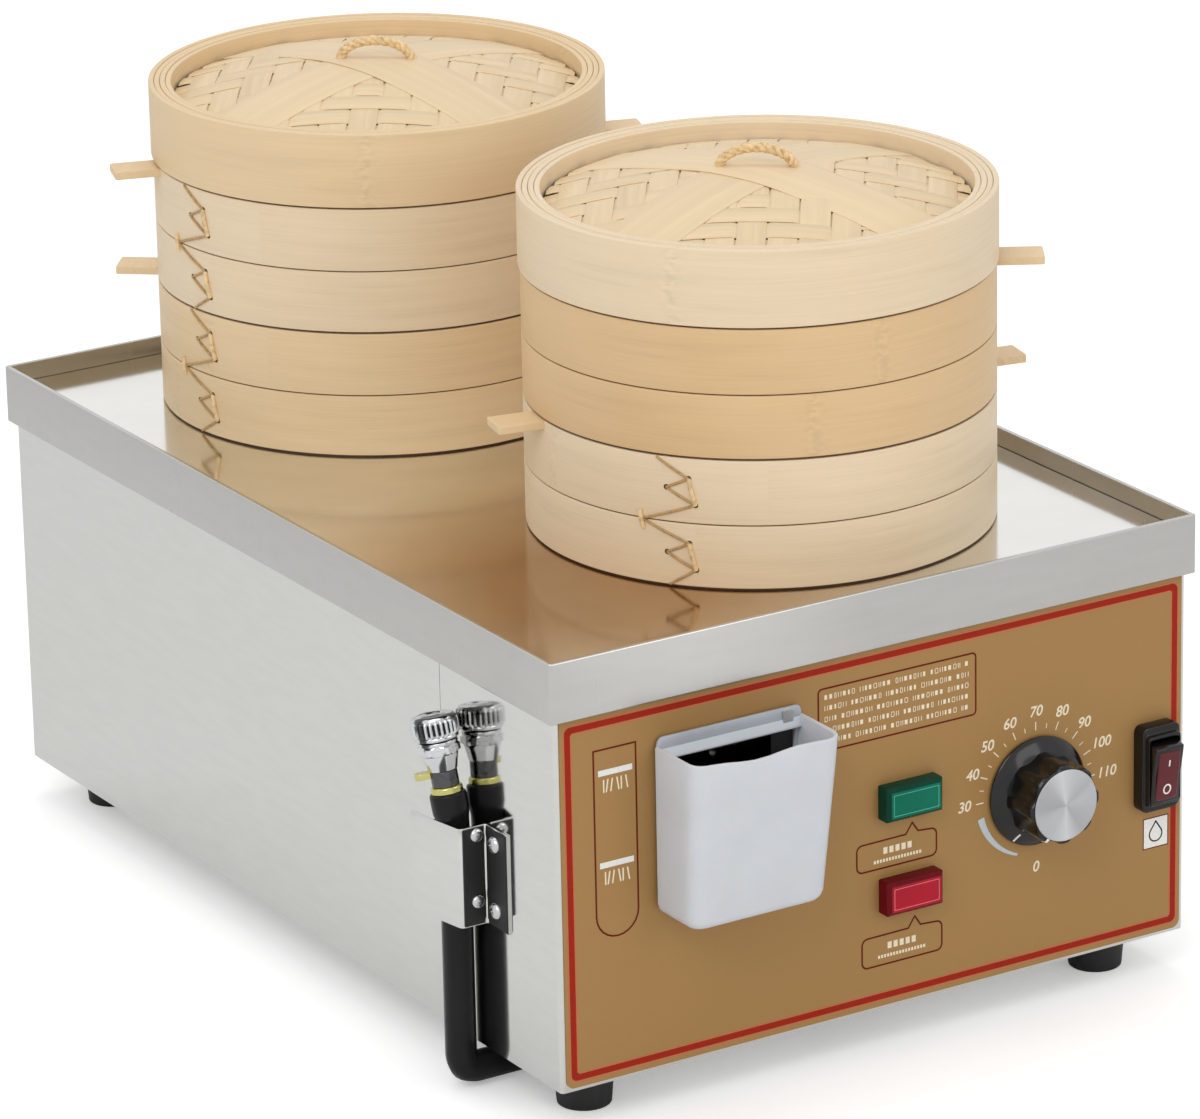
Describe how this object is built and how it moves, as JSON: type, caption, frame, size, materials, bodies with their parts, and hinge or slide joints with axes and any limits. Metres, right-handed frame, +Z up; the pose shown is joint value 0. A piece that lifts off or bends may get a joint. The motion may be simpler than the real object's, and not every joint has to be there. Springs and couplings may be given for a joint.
{
  "type": "dumpling steamer",
  "caption": "Electric countertop steamer with a stainless water cabinet, stacked bamboo baskets under woven lids, front filling hopper, dial, switch and drain hose.",
  "frame": {"origin": "centre of the cabinet's footprint, on the surface that the feet stand on", "axes": "+Z up, -Y towards the control front, +X to the right of someone who faces the controls"},
  "size_m": [0.3702, 0.5658, 0.3998],
  "materials": {
    "polished_steel": "polished stainless sheet, nearly a mirror",
    "gold_fascia": "satin gold-brown coating with thin red lines",
    "black_rubber": "matt black rubber",
    "plated_steel": "zinc-plated, satin",
    "milky_plastic": "translucent white moulding",
    "element_steel": "heat-darkened steel tube",
    "brass_fitting": "bright turned brass",
    "grey_plastic": "moulded grey plastic",
    "copper_tube": "drawn copper",
    "black_plastic": "glossy black moulding",
    "spun_aluminium": "spun, with a radial sheen",
    "switch_cover": "glossy black frame",
    "red_window": "dark red translucent strip",
    "green_lens": "green moulded lens",
    "red_lens": "red moulded lens",
    "hose_rubber": "smooth black hose",
    "valve_chrome": "bright chrome with knurled and fluted bands",
    "bamboo_tan": "split bamboo, satin, with fine grain",
    "bamboo_pale": "pale split bamboo, satin, with fine grain",
    "bamboo_weave": "woven bamboo strips",
    "rattan": "twisted rattan cane"
  },
  "bodies": {
    "cabinet": {"front_panel": "polished_steel", "control_fascia": "gold_fascia", "rear_wrap": "polished_steel", "base_plate": "polished_steel", "top_frame": "polished_steel", "water_tank": "polished_steel", "tank_deck": "polished_steel", "feet": "black_rubber", "foot_screws": "plated_steel", "filler_duct": "polished_steel", "water_hopper": "milky_plastic", "hopper_gasket": "black_rubber", "hopper_clip": "polished_steel", "heating_element": "element_steel", "element_nuts": "brass_fitting", "element_rests": "polished_steel", "thermostat_body": "grey_plastic", "thermostat_nut": "plated_steel", "thermostat_probe": "copper_tube", "switch_housing": "switch_cover", "power_lamp_lens": "green_lens", "power_lamp_body": "grey_plastic", "heating_lamp_lens": "red_lens", "heating_lamp_body": "grey_plastic", "drain_outlet": "polished_steel", "drain_hose": "hose_rubber", "hose_clamp": "plated_steel", "valve_ferrule": "brass_fitting", "valve_body": "valve_chrome", "hose_bracket": "polished_steel", "cable_gland": "black_plastic", "terminal_block": "grey_plastic"},
    "steam_plate": {"steam_plate": "polished_steel", "steam_collars": "polished_steel"},
    "thermostat_knob": {"thermostat_knob": "black_plastic", "knob_cap": "spun_aluminium", "thermostat_spindle": "plated_steel"},
    "switch_rocker": {"switch_rocker": "black_plastic", "rocker_window": "red_window"},
    "valve_knob": {"valve_knob": "valve_chrome"},
    "left_lower_basket": {"left_lower_wall": "bamboo_tan", "left_lower_floor": "bamboo_tan", "left_lower_ears": "bamboo_tan"},
    "left_upper_basket": {"left_upper_wall": "bamboo_tan", "left_upper_floor": "bamboo_tan", "left_upper_ears": "bamboo_tan"},
    "left_lid": {"left_lid_rim": "bamboo_tan", "left_lid_dome": "bamboo_weave", "left_lid_straps": "bamboo_weave", "left_lid_handle": "rattan"},
    "right_lower_basket": {"right_lower_wall": "bamboo_pale", "right_lower_floor": "bamboo_pale", "right_lower_ears": "bamboo_pale"},
    "right_upper_basket": {"right_upper_wall": "bamboo_tan", "right_upper_floor": "bamboo_tan", "right_upper_ears": "bamboo_tan"},
    "right_lid": {"right_lid_rim": "bamboo_pale", "right_lid_dome": "bamboo_weave", "right_lid_straps": "bamboo_weave", "right_lid_handle": "rattan"}
  },
  "joints": [
    {"name": "plate_lift", "type": "slide", "parent": "cabinet", "child": "steam_plate", "axis": [0, 0, 1], "range_m": [0, 0.06]},
    {"name": "left_lower_lift", "type": "slide", "parent": "steam_plate", "child": "left_lower_basket", "axis": [0, 0, 1], "range_m": [0, 0.1]},
    {"name": "left_upper_lift", "type": "slide", "parent": "left_lower_basket", "child": "left_upper_basket", "axis": [0, 0, 1], "range_m": [0, 0.1]},
    {"name": "left_lid_lift", "type": "slide", "parent": "left_upper_basket", "child": "left_lid", "axis": [0, 0, 1], "range_m": [0, 0.1]},
    {"name": "right_lower_lift", "type": "slide", "parent": "steam_plate", "child": "right_lower_basket", "axis": [0, 0, 1], "range_m": [0, 0.1]},
    {"name": "right_upper_lift", "type": "slide", "parent": "right_lower_basket", "child": "right_upper_basket", "axis": [0, 0, 1], "range_m": [0, 0.1]},
    {"name": "right_lid_lift", "type": "slide", "parent": "right_upper_basket", "child": "right_lid", "axis": [0, 0, 1], "range_m": [0, 0.1]},
    {"name": "thermostat_turn", "type": "hinge", "parent": "cabinet", "child": "thermostat_knob", "pos_m": [0.0865, -0.2565, 0.11], "axis": [0, 1, 0], "range_deg": [-34, 236]},
    {"name": "rocker_tilt", "type": "hinge", "parent": "cabinet", "child": "switch_rocker", "pos_m": [0.1529, -0.2605, 0.1075], "axis": [-1, 0, 0], "range_deg": [0, 16]},
    {"name": "valve_turn", "type": "hinge", "parent": "cabinet", "child": "valve_knob", "pos_m": [-0.18332, -0.17309, 0.17296], "axis": [-0.067, 0.1961, 0.9783], "range_deg": [0, 270]}
  ]
}
